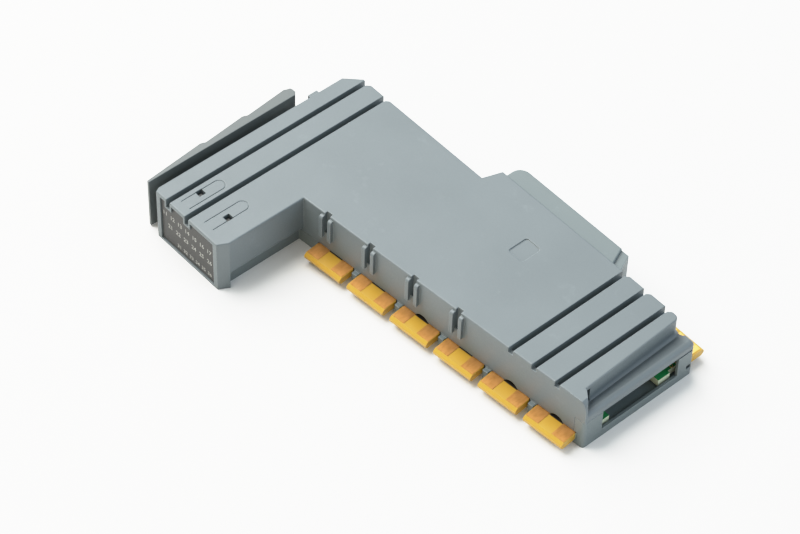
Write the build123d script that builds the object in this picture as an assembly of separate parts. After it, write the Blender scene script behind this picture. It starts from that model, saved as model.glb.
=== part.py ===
"""Slim slice-type input/output module, lying on its side.

A hollow two-part housing (side cover over base shell) holds one circuit board.
Six bare board tongues with two contacts each stand out of the sloping front wall
for the terminal block, and one tongue stands out at the back for the bus.  The nose
carries the dark status label with its light guide, and a sprung release lever lies
along the top end.

Building frame, in mm: X runs from the top end to the bottom end, Y from the label
face to the back, Z is the module's thickness with the base shell on Z = 0.  All
pieces are moved together at the end, so that the origin is at the middle of the base.
"""
from build123d import *
import os
from math import cos, radians, sin, sqrt, tan

# ---------------------------------------------------------------- housing sizes
MODULE_T = 12.5            # thickness of one slice
HOUSING_L = 90.6           # top end to bottom end
WALL = 1.2                 # moulded wall
FLOOR_T = 1.1              # base shell floor
FIT_GAP = 0.1              # gap between two moulded pieces of the housing
EDGE_R = 0.25              # rounding of the side face's outer edges

NOSE_W = 19.7              # nose along X
NOSE_D = 20.2              # nose stands out of the front wall by this
NOSE_CUT_X = 1.2           # slanted corner pillar of the nose
NOSE_CUT_Y = 2.2
NOSE_EDGE = 0.5            # small slant on the nose's top-end corner
FRAME_T = 2.2              # depth of the full-height label frame
FRONT_TILT = 5.0           # slope of the front wall, degrees

UPPER_BACK = 49.5          # back wall, top-end part
LOWER_BACK = 53.6          # back wall, bottom-end part
STEP_X = 37.4              # where the back wall steps out
STEP_RUN = 1.4             # slant of that step
BACK_CUT = 3.0             # slanted corner between top end and back

GROOVE_PITCH = 5.6
GROOVE_W = 1.2
GROOVE_DEPTH = 2.0
GROOVE_SILL_DROP = 1.2     # sill left across a groove's end in the front wall
GROOVE_SILL_T = 0.8
GROOVE_FLARE = 0.8         # widened mouth at the back
GROOVE_WALL = 0.9          # wall left around a groove
TOP_GROOVE_X = 4.0         # first groove from the top end
END_GROOVE_X = 7.1         # last groove from the bottom end
TOP_GROOVES = 2
END_GROOVES = 3

# ------------------------------------------------------------- stepped bottom end
END_STEP = 2.75            # last strip ends this far before the bottom end
END_TAPER = 1.2            # its end slants in from front to back
END_ROUND = 1.15           # its upright corner at the back
END_HEEL = 0.6             # bottom end stands out behind the back wall
END_HEEL_L = 2.3
END_KEY = 1.1              # small square key notch near the heel's foot
END_GAP = 0.4              # end wall stands this far below the lip, near the heel
LEDGE_DROP = 3.6           # ledge beyond the last strip, below the side face
LEDGE_HOLLOW_R = 1.2       # hollow curve from strip to ledge
LEDGE_DIP = 0.85           # ledge falls towards the strip by this much
LEDGE_LIP_R = 1.0          # rounded lip of the ledge
END_CORNER_R = 0.7         # rounded upright corners of the bottom end
LIP_H = 1.8                # height of the ledge's lip
END_FIN_T = 2.7            # front wall runs on past the last strip in a round fin
END_FIN_EDGE = 0.5         # fin's thickness at its outer end
END_FIN_TOP = 1.6          # level run before the fin rounds down
END_FIN_H = 2.6            # height of the fin's round profile
END_FIN_BACK = 2.4         # its inner side slants back by this much
END_SLOT_W = 1.5           # narrow slot behind that fin, into the last strip
END_SLOT_IN = 0.3          # it takes this much off the fin
END_SLOT_TOP = 0.8         # skin left above it
WINDOW_FRONT = 4.6         # bottom-end wall beside the window, front and back
WINDOW_BACK = 3.4
WINDOW_SILL = 2.0
SILL_T = 0.6
END_WALL = 1.0
END_BLOCK_L = 2.4          # the base shell's end blocks reach this far in

# -------------------------------------------------------------- circuit board
BOARD_Z = 1.4              # underside of the board
BOARD_T = 1.6
BOARD_GAP = 0.3            # board edge to housing wall
SLOT_GAP = 0.2             # board top to the cover's lower edge
TONGUE_PITCH = 11.2
TONGUE_W = 9.35
TONGUE_START = 4.0         # first tongue from the nose
TONGUE_END = 1.0           # least distance of the last tongue from the bottom end
TONGUE_OUT = 3.9           # out of the front wall
TONGUE_BEVEL = 0.5
PAD_W = 2.9
PAD_SETBACK = 0.7          # pad stops short of the tongue's tip
PAD_T = 0.07
PAD_INSET = 0.12           # pad to the tongue's side
PAD_TAIL = 1.6             # pad runs on under the wall
BUS_TONGUE_L = 18.1
BUS_TONGUE_END = 1.0       # bus tongue to the bottom end
BUS_TONGUE_OUT = 4.6
BUS_PADS = 6
BUS_PAD_W = 2.3
END_TAB_W = 3.0            # two board corners that show in the window
END_TAB_BACK = 4.0         # rear one from the window's rear edge
END_NOTCH = 6.0            # board is cut back between them

# ------------------------------------------------------------- front wall details
PLAIN_TONGUES = 2          # last tongues, which have no rib pair beside them
RIB_PAIR_U = 6.3           # centre of the first pair from the nose
RIB_SPACING = 2.2
RIB_W = 0.8
RIB_OUT = 0.8
RIB_Z0 = 6.3
RIB_DROP = 0.6             # rib top below the side face
POCKET_DEPTH = 0.75
POCKET_FOOT = 1.0          # pocket floor above the ribs' lower end
CRESCENT_TONGUES = (2, 4, 5)   # counted from the nose, from 0
CRESCENT_W = 3.0
CRESCENT_H = 0.8
STUB_W = 1.2               # base shell stubs between the tongues
STUB_OUT = 0.9
STUB_Z = 2.8

# ---------------------------------------------------------------- nose details
SKIRT_LIFT = 1.1           # cover's lower edge on the nose's inner side, above the parting line
LABEL_RIM = 1.15           # label frame, sides
LABEL_RIM_TOP = 0.85
LABEL_RIM_BASE = 0.5
LABEL_T = 0.8
LABEL_RECESS = 0.35
NOTCH_RIM = 0.45           # frame left under a groove
SNAP_SLIT_W = 0.15
SNAP_LEN = 8.0
SNAP_Y0 = 2.0
SNAP_W = 2.5
SNAP_HOLE = 1.5
SNAP_HOLE_Y = 6.15
SNAP_HOLE_IN = 0.6         # hole centre to the tongue's outer slit
SNAP1_IN = 1.65            # snap tongues from the grooves' centres
SNAP2_IN = 3.0
WITNESS_DEPTH = 0.12
MARK_X = 56.2              # bare recessed square on the side face
MARK_Y = 43.1
MARK_W = 3.9
MARK_L = 4.8
MARK_DEPTH = 0.2
MARK_R = 0.6

# ------------------------------------------------------------ bus guide block
GUIDE_START = 0.3          # from the back wall's step
GUIDE_END = 0.9            # from the bus tongue
GUIDE_OUT = 4.6
GUIDE_DROP = 1.3           # guide block below the side face
GUIDE_SLANT = 1.9          # oblique end
GUIDE_STEP_L = 1.9         # lower step beyond it
GUIDE_STEP_DROP = 0.6
GUIDE_R = 2.4

# -------------------------------------------------------------- release lever
LEVER_GAP = 2.25           # lever to housing, at the hinge
LEVER_LEAN = 0.1           # the gap grows by this along the lever
LEVER_T0 = 0.5             # thickness at the hinge end
LEVER_Z0 = 0.3             # lever clear of the table, and of the side face's plane
LEVER_TOP_GAP = 0.1
LEVER_Y0 = 0.4
TEETH = 3                  # saw teeth that a finger pulls on
TOOTH_Y0 = 14.2
TOOTH_PITCH = 10.7
TOOTH_OUT0 = 3.97
TOOTH_GROW = 0.43          # each tooth stands out further than the last
TOOTH_DROP = 0.43
TOOTH_RUN = 1.1
LEVER_END = 1.5            # lever ends this far behind the last tooth
LEVER_END_CUT = 0.6
HINGE_X = 1.0              # hinge axis outside the housing wall
HINGE_Y = 3.3
PIN_R = 0.4
PIN_FIT = 0.04             # running fit of the lever on its pin
BARREL_R = 0.7
EAR_R = 0.75
EAR_T = 1.1
EAR_Z = 0.8                # lower ear above the floor side
EAR_TOP_IN = 3.2           # upper ear below the side face
EAR_GAP = 0.3              # ear to lever barrel
CATCH_GAP = 1.3            # small catch rib behind the lever
CATCH_W = 2.2
CATCH_OUT = 0.75
SPRING_T = 0.25            # leaf spring that presses the lever out
SPRING_W = 6.0
SPRING_Z = 3.6
SPRING_Y = 9.0
SPRING_FOOT = 3.0
SPRING_REACH = 11.0
SPRING_HOOK = 1.2
SPRING_FIT = 0.05
SPRING_TIP_GAP = 0.3       # leaf to lever at rest

# ---------------------------------------------- pegs, label carrier, light guide
PEG_TOP_IN = 9.8           # peg between the first two grooves, behind the nose
PEG_MIDDLE_V = 21.2        # peg between the second and third tongues, from the front wall
PEG_END_IN = 12.6          # peg between the last two grooves, from the back wall
PEG_R = 1.1
PEG_H = 1.6                # peg above the board
PEG_FIT = 0.1
PEG_SEAT_R = 2.0
POST_R = 1.9
CARRIER_T = 1.1
CARRIER_FOOT = 0.7         # carrier above the board
CARRIER_H = 4.9
ARM_W = 1.4
ARM_T = 1.2
ARM_DROP = 0.15            # arm below the cover's ceiling
ARM_LEN = 4.4
SNAP_NOSE = 0.95
SNAP_NOSE_H = 0.55
GUIDE_BAR_RIM = 0.9        # carrier frame beside the light guide
GUIDE_BAR_FOOT = 2.0       # light guide above the board
GUIDE_BAR_H = 2.9
GUIDE_BAR_BACK = 5.1
PIPES = 6
PIPE_END = 0.55            # outermost pipe from the light guide's end
PIPE_W = 1.3
PIPE_GAP = 0.15            # light pipe to LED
LED_L = 1.6
LED_W = 0.8
LED_H = 0.6

# ------------------------------------------------------------------- electronics
# Sizes are length along the front wall, depth, height; rows are measured back from it.
CAP = (3.2, 1.6, 1.3)
CAP_V = 2.9
OPTO = (4.4, 3.6, 2.1)
OPTO_V = 7.0
RESISTOR = (2.0, 1.25, 0.5)
RESISTOR_V = 10.8
DRIVER = (3.9, 4.9, 1.5)
DRIVER_V = 15.2
DIODE = (4.0, 2.0, 1.5)
DIODE_V = 20.3
CONTROLLER = (10.0, 10.0, 1.4)
CONTROLLER_IN = (5.7, 11.0)    # from the nose's inner side and the upper back wall
CRYSTAL = (3.2, 2.5, 0.8)
CRYSTAL_GAP = 1.0              # from the controller's leads
CAN_R = 3.15
CAN_H = 5.4
CAN_IN = (4.8, 6.0)            # first can from the nose and the upper back wall
CAN_PITCH = 7.1
TANTALUM = (7.3, 4.3, 2.9)
TANTALUM_IN = (5.7, 4.3)       # first block from the back wall's step and the back wall
TANTALUM_PITCH = 8.3
BUS_CHIP = (7.0, 7.0, 0.9)
BUS_CHIP_IN = (5.0, 5.6)       # from the bus tongue's start and the back wall
INDUCTOR = (6.6, 6.6, 4.0)
INDUCTOR_IN = (4.3, 5.3)
LEAD_W = 0.3
LEAD_T = 0.2
LEAD_PITCH = 0.8
LEAD_OUT = 1.0
SO_PITCH = 1.27

# -------------------------------------------------- places that follow from these
TOP_Z = BOARD_Z + BOARD_T                  # top of the board
SPLIT_Z = TOP_Z + SLOT_GAP                 # cover's lower edge
BASE_Z = SPLIT_Z - FIT_GAP                 # base shell's upper edge
SKIRT_Z = SPLIT_Z + SKIRT_LIFT
CEILING_Z = MODULE_T - WALL
LEDGE_Z = MODULE_T - LEDGE_DROP
LIP_Z = LEDGE_Z - LIP_H                    # lower edge of the ledge's lip
GUIDE_Z = MODULE_T - GUIDE_DROP
LEVER_Z1 = MODULE_T - LEVER_TOP_GAP
EAR_TOP_Z = MODULE_T - EAR_TOP_IN - EAR_T       # underside of the cover's ear
LEVER_END_Y = TOOTH_Y0 + (TEETH - 1) * TOOTH_PITCH + LEVER_END
STRIP_END_X = HOUSING_L - END_STEP
SLOPE = tan(radians(FRONT_TILT))
FRONT_L = (HOUSING_L - NOSE_W) / cos(radians(FRONT_TILT))
TONGUES = 1 + int((FRONT_L - TONGUE_START - TONGUE_W - TONGUE_END) / TONGUE_PITCH)
BUS_TONGUE_X = HOUSING_L - BUS_TONGUE_END - BUS_TONGUE_L
GUIDE_X0 = STEP_X + STEP_RUN + GUIDE_START
GUIDE_X1 = BUS_TONGUE_X - GUIDE_END - GUIDE_STEP_L - GUIDE_SLANT
WINDOW_Y0 = NOSE_D + (HOUSING_L - NOSE_W) * SLOPE + WINDOW_FRONT
WINDOW_Y1 = LOWER_BACK - WINDOW_BACK
NOSE_MID = (NOSE_EDGE + NOSE_W - NOSE_CUT_X) / 2
CARRIER_W = 2 * (NOSE_W - 2 * (WALL + FIT_GAP) - NOSE_MID)
GUIDE_BAR_W = CARRIER_W - 2 * GUIDE_BAR_RIM
GUIDE_BAR_Z0 = TOP_Z + GUIDE_BAR_FOOT
GUIDE_BAR_Z1 = GUIDE_BAR_Z0 + GUIDE_BAR_H
GROOVES_X = [TOP_GROOVE_X + i * GROOVE_PITCH for i in range(TOP_GROOVES)] + [
    HOUSING_L - END_GROOVE_X - i * GROOVE_PITCH for i in reversed(range(END_GROOVES))]
SNAP1_X = GROOVES_X[0] + SNAP1_IN          # outer slit of each snap tongue
SNAP2_X = GROOVES_X[1] + SNAP2_IN
SNAPS = ((SNAP1_X, SNAP1_X + SNAP_HOLE_IN), (SNAP2_X, SNAP2_X + SNAP_W - SNAP_HOLE_IN))
FRONT = Pos(NOSE_W, NOSE_D, 0) * Rot(0, 0, FRONT_TILT)
PEG_MIDDLE = FRONT * Pos(TONGUE_START + 1.5 * TONGUE_PITCH + TONGUE_W / 2, PEG_MIDDLE_V)
PEG_PLACES = ((sum(GROOVES_X[:2]) / 2, NOSE_D + PEG_TOP_IN),
              (PEG_MIDDLE.position.X, PEG_MIDDLE.position.Y),
              (sum(GROOVES_X[-2:]) / 2, LOWER_BACK - PEG_END_IN))


def block(x0, x1, y0, y1, z0, z1):
    """Box between two corners."""
    return Pos(x0, y0, z0) * Box(x1 - x0, y1 - y0, z1 - z0, align=(Align.MIN,) * 3)


def prism(face, z0, z1):
    """Flat face on Z = 0 raised from z0 to z1."""
    return Pos(0, 0, z0) * extrude(face, z1 - z0, dir=(0, 0, 1))


def front_y(x):
    """Y of the front wall's outer face at x."""
    return NOSE_D + (x - NOSE_W) * SLOPE


def strip_end():
    """Slanted line along the end of the last strip, and the arc round its back corner."""
    front = (STRIP_END_X, front_y(STRIP_END_X))
    bend = (STRIP_END_X - END_TAPER, LOWER_BACK - END_ROUND)
    back = (bend[0] - END_ROUND, LOWER_BACK)
    straight = Line(front, bend)
    return straight, TangentArc(bend, back, tangent=straight % 1)


def upper_outline():
    """Side face of the housing, up to the slanted end of the last strip."""
    straight, curve = strip_end()
    sides = Polyline(
        curve @ 1, (STEP_X + STEP_RUN, LOWER_BACK), (STEP_X, UPPER_BACK),
        (BACK_CUT, UPPER_BACK), (0, UPPER_BACK - BACK_CUT), (0, 2 * NOSE_EDGE),
        (NOSE_EDGE, 0), (NOSE_W - NOSE_CUT_X, 0), (NOSE_W, NOSE_CUT_Y),
        (NOSE_W, NOSE_D), straight @ 0)
    return make_face([sides, straight, curve])


def heel():
    """Points of the heel where the bottom end stands out behind the back wall."""
    x = HOUSING_L - END_HEEL_L
    return ((HOUSING_L, LOWER_BACK + END_HEEL), (x, LOWER_BACK + END_HEEL),
            (x - END_HEEL, LOWER_BACK))


def lower_outline():
    """Outline of the housing below the ledge, with rounded bottom-end corners."""
    face = Polygon(
        *heel(), (STEP_X + STEP_RUN, LOWER_BACK), (STEP_X, UPPER_BACK),
        (BACK_CUT, UPPER_BACK), (0, UPPER_BACK - BACK_CUT), (0, 2 * NOSE_EDGE),
        (NOSE_EDGE, 0), (NOSE_W - NOSE_CUT_X, 0), (NOSE_W, NOSE_CUT_Y),
        (NOSE_W, NOSE_D), (HOUSING_L, front_y(HOUSING_L)), align=None)
    corners = face.vertices().filter_by_position(Axis.X, HOUSING_L - 0.01, HOUSING_L + 0.01)
    return fillet(corners, END_CORNER_R)


def base_outline():
    """Outline of the base shell: behind the label frame, inside the nose skirt."""
    nose_x = NOSE_W - WALL - FIT_GAP
    start_y = FRAME_T + FIT_GAP
    face = Polygon(
        *heel(), (STEP_X + STEP_RUN, LOWER_BACK), (STEP_X, UPPER_BACK),
        (BACK_CUT, UPPER_BACK), (0, UPPER_BACK - BACK_CUT), (0, start_y),
        (nose_x, start_y), (nose_x, front_y(nose_x)), (HOUSING_L, front_y(HOUSING_L)),
        align=None)
    corners = face.vertices().filter_by_position(Axis.X, HOUSING_L - 0.01, HOUSING_L + 0.01)
    return fillet(corners, END_CORNER_R)


def tongue_u(index):
    """Start of a front tongue, measured along the front wall from the nose."""
    return TONGUE_START + index * TONGUE_PITCH


# ------------------------------------------------------------------- side cover
def grooves():
    """Grooves across the side face, each with a widened mouth at the back."""
    floor_z = MODULE_T - GROOVE_DEPTH
    cuts = Part()
    for x in GROOVES_X:
        back = UPPER_BACK if x < STEP_X else LOWER_BACK
        edge = x + GROOVE_W / 2
        start = front_y(edge) + GROOVE_SILL_T if x > NOSE_W else -1
        cuts += block(edge - GROOVE_W, edge, start, back + 1, floor_z, MODULE_T + 1)
        cuts += block(edge - GROOVE_W, edge, -1, start + 1,
                      MODULE_T - GROOVE_SILL_DROP, MODULE_T + 1)
        mouth = Polygon((edge, back - GROOVE_FLARE), (edge + GROOVE_FLARE, back),
                        (edge + GROOVE_FLARE, back + 1), (edge, back + 1), align=None)
        cuts += prism(mouth, floor_z, MODULE_T + 1)
    return cuts


def end_hollow():
    """Hollow curve that runs down from the last strip to the ledge."""
    straight, curve = strip_end()
    start = straight @ (WALL / straight.length)
    path = Wire([Line(start, straight @ 1), curve, Line(curve @ 1, curve @ 1 + curve % 1)])
    r = LEDGE_HOLLOW_R
    middle = r * (1 - sqrt(0.5))
    rim = Polyline((0, r), (-WALL / 2, r), (-WALL / 2, -WALL / 2), (r, -WALL / 2), (r, 0))
    face = make_face([rim, ThreePointArc((r, 0), (middle, middle), (0, r))])
    foot_z = LEDGE_Z - LEDGE_DIP
    at_start = Plane((start.X, start.Y, foot_z), x_dir=(1, 0, 0), z_dir=-(straight % 0))
    return sweep(at_start * face, path=Pos(0, 0, foot_z) * path)


def ledge_dip():
    """Wedge over the ledge, which falls from its lip towards the last strip."""
    x0, x1 = STRIP_END_X - END_TAPER, HOUSING_L - LEDGE_LIP_R
    side = Polygon((x0, LEDGE_Z - LEDGE_DIP), (x1, LEDGE_Z), (x1, LEDGE_Z + 1),
                   (x0 - 2 * END_ROUND, LEDGE_Z + 1), (x0 - 2 * END_ROUND, LEDGE_Z - LEDGE_DIP),
                   align=None)
    return Pos(0, LOWER_BACK + 1, 0) * extrude(Plane.XZ * side, LOWER_BACK)


def cover_body():
    """Outside of the cover: grooved face, hollow curve down to the ledge, round lip."""
    upper = prism(upper_outline(), SPLIT_Z, MODULE_T)
    upper = fillet(upper.faces().sort_by(Axis.Z)[-1].edges(), EDGE_R)
    ledge = prism(lower_outline(), SPLIT_Z, LEDGE_Z)
    rim = ledge.faces().sort_by(Axis.Z)[-1].edges()
    ledge = fillet([e for e in rim if e.center().X > HOUSING_L - END_CORNER_R / 2], LEDGE_LIP_R)
    ledge -= ledge_dip()
    hollow = end_hollow() & prism(lower_outline(), SPLIT_Z, MODULE_T)
    return upper + ledge + hollow - grooves()


def cover_cavity():
    """Hollow inside the cover, with walls left around the grooves."""
    hollow = prism(offset(upper_outline(), -WALL), 0, CEILING_Z)
    hollow += prism(offset(lower_outline(), -WALL), 0, LIP_Z)
    half = GROOVE_W / 2 + GROOVE_WALL
    for x in GROOVES_X:
        hollow -= block(x - half, x + half, -1, LOWER_BACK + 1,
                        MODULE_T - GROOVE_DEPTH - GROOVE_WALL, MODULE_T)
    return hollow - block(-1, NOSE_W + 1, -1, FRAME_T, -1, MODULE_T)


def label_face(grow, y0, y1):
    """Plate shape of the label, notched under the grooves, enlarged by grow."""
    plate = block(NOSE_EDGE + LABEL_RIM - grow, NOSE_W - NOSE_CUT_X - LABEL_RIM + grow,
                  y0, y1, LABEL_RIM_BASE - grow, MODULE_T - LABEL_RIM_TOP + grow)
    half = GROOVE_W / 2 + NOTCH_RIM - grow
    floor_z = MODULE_T - GROOVE_DEPTH - NOTCH_RIM + grow
    for x in GROOVES_X[:TOP_GROOVES]:
        plate -= block(x - half, x + half, y0 - 1, y1 + 1, floor_z, MODULE_T)
    return plate


def guide_opening(grow):
    """Opening in the label frame and carrier for the light guide."""
    return block(NOSE_MID - GUIDE_BAR_W / 2 - grow, NOSE_MID + GUIDE_BAR_W / 2 + grow,
                 LABEL_RECESS + LABEL_T, GUIDE_BAR_BACK,
                 GUIDE_BAR_Z0 - grow, GUIDE_BAR_Z1 + grow)


def rib_pairs():
    """Upright guide ribs on the front wall, two to a pair, rounded at the top."""
    ribs = Part()
    for i in range(TONGUES - PLAIN_TONGUES):
        for side in (-1, 1):
            u = RIB_PAIR_U + i * TONGUE_PITCH + side * RIB_SPACING / 2
            rib = block(u - RIB_W / 2, u + RIB_W / 2, -RIB_OUT, WALL / 2, RIB_Z0,
                        MODULE_T - RIB_DROP)
            tip = rib.edges().filter_by(Axis.X).sort_by(Axis.Z)[-2:].sort_by(Axis.Y)[0]
            ribs += FRONT * fillet(tip, RIB_OUT * 0.7)
    return ribs


def rib_pockets():
    """Pocket between the two ribs of each pair, open at the side face."""
    width = RIB_SPACING - RIB_W
    cuts = Part()
    for i in range(TONGUES - PLAIN_TONGUES):
        u = RIB_PAIR_U + i * TONGUE_PITCH
        cuts += FRONT * block(u - width / 2, u + width / 2, -RIB_OUT - 1, POCKET_DEPTH,
                              RIB_Z0 + POCKET_FOOT, MODULE_T + 1)
    return cuts


def crescents():
    """Shallow arches in the cover's edge over some of the tongues."""
    radius = (CRESCENT_W ** 2 / 4 + CRESCENT_H ** 2) / (2 * CRESCENT_H)
    cuts = Part()
    for i in CRESCENT_TONGUES:
        u = tongue_u(i) + TONGUE_W / 2
        arch = Pos(u, 0, SPLIT_Z + CRESCENT_H - radius) * Rot(90, 0, 0) * Cylinder(radius, 3 * WALL)
        cuts += FRONT * arch
    return cuts


def snap_tongue_cuts():
    """Slits and square hole of the two snap tongues, with a shallow line round their roots."""
    cuts = Part()
    for x, hole_x in SNAPS:
        for slit_x in (x, x + SNAP_W):
            cuts += block(slit_x - SNAP_SLIT_W / 2, slit_x + SNAP_SLIT_W / 2,
                          SNAP_Y0, SNAP_Y0 + SNAP_LEN, CEILING_Z - 1, MODULE_T + 1)
        cuts += block(hole_x - SNAP_HOLE / 2, hole_x + SNAP_HOLE / 2,
                      SNAP_HOLE_Y - SNAP_HOLE / 2, SNAP_HOLE_Y + SNAP_HOLE / 2,
                      CEILING_Z - 1, MODULE_T + 1)
        bend = Pos(x + SNAP_W / 2, SNAP_Y0 + SNAP_LEN)
        ring = Circle((SNAP_W + SNAP_SLIT_W) / 2) - Circle((SNAP_W - SNAP_SLIT_W) / 2)
        half = Pos(0, SNAP_W) * Rectangle(2 * SNAP_W, 2 * SNAP_W)
        cuts += prism(bend * (ring & half), MODULE_T - WITNESS_DEPTH, MODULE_T + 1)
    return cuts


def bare_mark():
    """Shallow square with rounded corners, left bare."""
    return prism(Pos(MARK_X, MARK_Y) * RectangleRounded(MARK_W, MARK_L, MARK_R),
                 MODULE_T - MARK_DEPTH, MODULE_T + 1)


def peg_posts():
    """Posts from the cover's ceiling that hold the board down over the pegs."""
    posts = Part()
    for x, y in PEG_PLACES:
        post = Pos(x, y, TOP_Z + FIT_GAP) * Cylinder(
            POST_R, CEILING_Z - TOP_Z, align=(Align.CENTER, Align.CENTER, Align.MIN))
        bore = Pos(x, y, TOP_Z) * Cylinder(
            PEG_R + PEG_FIT, PEG_H + 2 * PEG_FIT, align=(Align.CENTER, Align.CENTER, Align.MIN))
        posts += post - bore
    return posts


def hinge_ear(z0, bore_z0, bore_z1):
    """Ear on the top-end wall with a blind hole for the hinge pin."""
    ear = block(-HINGE_X, WALL / 2, HINGE_Y - EAR_R, HINGE_Y + EAR_R, z0, z0 + EAR_T)
    ear += Pos(-HINGE_X, HINGE_Y, z0 + EAR_T / 2) * Cylinder(EAR_R, EAR_T)
    hole = Pos(-HINGE_X, HINGE_Y, (bore_z0 + bore_z1) / 2) * Cylinder(PIN_R, bore_z1 - bore_z0)
    return ear - hole


def end_fin():
    """Front wall running on past the last strip, with a round outer profile."""
    u0 = (STRIP_END_X - NOSE_W) / cos(radians(FRONT_TILT))
    u1 = FRONT_L
    top, foot = (u0 + END_FIN_TOP, MODULE_T), (u1, MODULE_T - END_FIN_H)
    rim = Polyline(foot, (u1, SPLIT_Z), (u0 - WALL, SPLIT_Z), (u0 - WALL, MODULE_T), top)
    face = Plane.XZ * make_face([rim, TangentArc(foot, top, tangent=(0, 1))])
    fin = Pos(0, END_FIN_T, 0) * extrude(face, END_FIN_T)
    bevel = Polygon((u1 + 1, END_FIN_EDGE), (u1, END_FIN_EDGE),
                    (u1 - END_FIN_BACK, END_FIN_T), (u1 - END_FIN_BACK, END_FIN_T + 1),
                    (u1 + 1, END_FIN_T + 1), align=None)
    return FRONT * (fin - prism(bevel, LIP_Z, MODULE_T + 1))


def end_slot():
    """Narrow upright slot behind the fin, through the end of the last strip."""
    y0 = front_y(STRIP_END_X) + END_FIN_T - END_SLOT_IN
    return block(STRIP_END_X - 2 * WALL, STRIP_END_X + END_SLOT_W / 2, y0, y0 + END_SLOT_W,
                 LEDGE_Z - LEDGE_DIP / 2, MODULE_T - END_SLOT_TOP)


def side_cover():
    """Upper shell with the label frame, ribs, snap tongues and stepped bottom end."""
    frame = prism(lower_outline(), 0, SPLIT_Z) & block(-1, NOSE_W + 1, -1, FRAME_T, -1, MODULE_T)
    cover = cover_body() + frame + rib_pairs() + end_fin()
    cover -= cover_cavity()
    cover -= label_face(FIT_GAP, -1, LABEL_RECESS + LABEL_T + FIT_GAP)
    cover -= guide_opening(FIT_GAP)
    cover -= block(NOSE_W - WALL - 1, NOSE_W + 1, FRAME_T, NOSE_D, 0, SKIRT_Z)
    cover -= block(HOUSING_L - END_BLOCK_L, HOUSING_L + 1, 0, LOWER_BACK + 1, 0, LIP_Z)
    cover -= rib_pockets()
    cover -= crescents()
    cover -= snap_tongue_cuts()
    cover -= bare_mark()
    cover -= end_slot()
    cover -= spring_slot()
    cover += peg_posts()
    cover += hinge_ear(EAR_TOP_Z, EAR_TOP_Z - 1, EAR_TOP_Z + EAR_T - LEVER_Z0)
    catch_y = LEVER_END_Y + CATCH_GAP
    cover += block(-CATCH_OUT, WALL / 2, catch_y, catch_y + CATCH_W,
                   SPLIT_Z, MODULE_T - EDGE_R)
    return cover


# ------------------------------------------------------------------- base shell
def base_walls():
    """Floor and walls up to the parting line."""
    tray = prism(base_outline(), 0, BASE_Z)
    tray -= prism(offset(base_outline(), -WALL), FLOOR_T, BASE_Z)
    nose_wall = block(NOSE_W - 2 * WALL - FIT_GAP, NOSE_W - WALL - FIT_GAP,
                      FRAME_T + FIT_GAP, NOSE_D - WALL, 0, SKIRT_Z + WALL)
    return tray + nose_wall


def end_blocks():
    """Bottom-end wall under the ledge."""
    x0 = HOUSING_L - END_BLOCK_L + FIT_GAP
    top = LIP_Z - FIT_GAP
    ring = prism(base_outline(), FLOOR_T, top)
    ring -= prism(offset(base_outline(), -END_WALL), FLOOR_T, top)
    return ring & block(x0, HOUSING_L + 1, 0, LOWER_BACK + 1, 0, top)


def end_window():
    """Window in the bottom-end wall, and the hollow behind its thin sill."""
    window = block(HOUSING_L - END_BLOCK_L, HOUSING_L + 1, WINDOW_Y0, WINDOW_Y1,
                   WINDOW_SILL, LIP_Z)
    return window + block(HOUSING_L - END_BLOCK_L, HOUSING_L - SILL_T,
                          WINDOW_Y0 - SILL_T, WINDOW_Y1 + SILL_T, FLOOR_T, LIP_Z)


def end_key():
    """Small square key notch near the heel's foot, and the gap under the lip above it."""
    key = block(HOUSING_L - END_KEY / 2, HOUSING_L + 1, LOWER_BACK - END_KEY, LOWER_BACK,
                WINDOW_SILL, WINDOW_SILL + END_KEY)
    return key + block(HOUSING_L - END_BLOCK_L, HOUSING_L + 1, WINDOW_Y1, LOWER_BACK + 1,
                       LIP_Z - END_GAP, LIP_Z)


def wall_stubs():
    """Short stubs that stand out between the tongues."""
    stubs = Part()
    for i in range(TONGUES - 1):
        u = tongue_u(i) + (TONGUE_W + TONGUE_PITCH) / 2
        stubs += FRONT * block(u - STUB_W / 2, u + STUB_W / 2, -STUB_OUT, WALL / 2, 0, STUB_Z)
    return stubs


def tongue_slots():
    """Slots in the base shell's walls for the board's tongues."""
    cuts = Part()
    z0 = BOARD_Z - FIT_GAP
    for i in range(TONGUES):
        cuts += FRONT * block(tongue_u(i) - FIT_GAP, tongue_u(i) + TONGUE_W + FIT_GAP,
                              -WALL, 2 * WALL, z0, SPLIT_Z)
    cuts += block(BUS_TONGUE_X - FIT_GAP, BUS_TONGUE_X + BUS_TONGUE_L + FIT_GAP,
                  LOWER_BACK - 2 * WALL, LOWER_BACK + WALL, z0, SPLIT_Z)
    return cuts


def guide_block():
    """Cored block along the back, with an oblique end and a lower step beyond it."""
    y0, y1, x1 = LOWER_BACK + FIT_GAP, LOWER_BACK + GUIDE_OUT, GUIDE_X1
    high = Polygon((GUIDE_X0, y0), (x1 + GUIDE_SLANT, y0), (x1, y1), (GUIDE_X0, y1), align=None)
    high = fillet(high.vertices().sort_by(Axis.X)[:2].sort_by(Axis.Y)[-1], GUIDE_R)
    low = Polygon((GUIDE_X0 + GUIDE_R, y0), (x1 + GUIDE_SLANT + GUIDE_STEP_L, y0),
                  (x1 + GUIDE_STEP_L, y1), (GUIDE_X0 + GUIDE_R, y1), align=None)
    body = prism(high, 0, GUIDE_Z)
    rim = body.edges().filter_by_position(Axis.Z, GUIDE_Z - 0.01, GUIDE_Z + 0.01)
    body = fillet(rim, EDGE_R)
    body += prism(low, 0, GUIDE_Z - GUIDE_STEP_DROP)
    body -= prism(offset(high, -WALL), -1, GUIDE_Z - WALL)
    return body + block(GUIDE_X0 + WALL, x1, LOWER_BACK - WALL / 2, y0 + WALL / 2, 0, BASE_Z)


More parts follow.
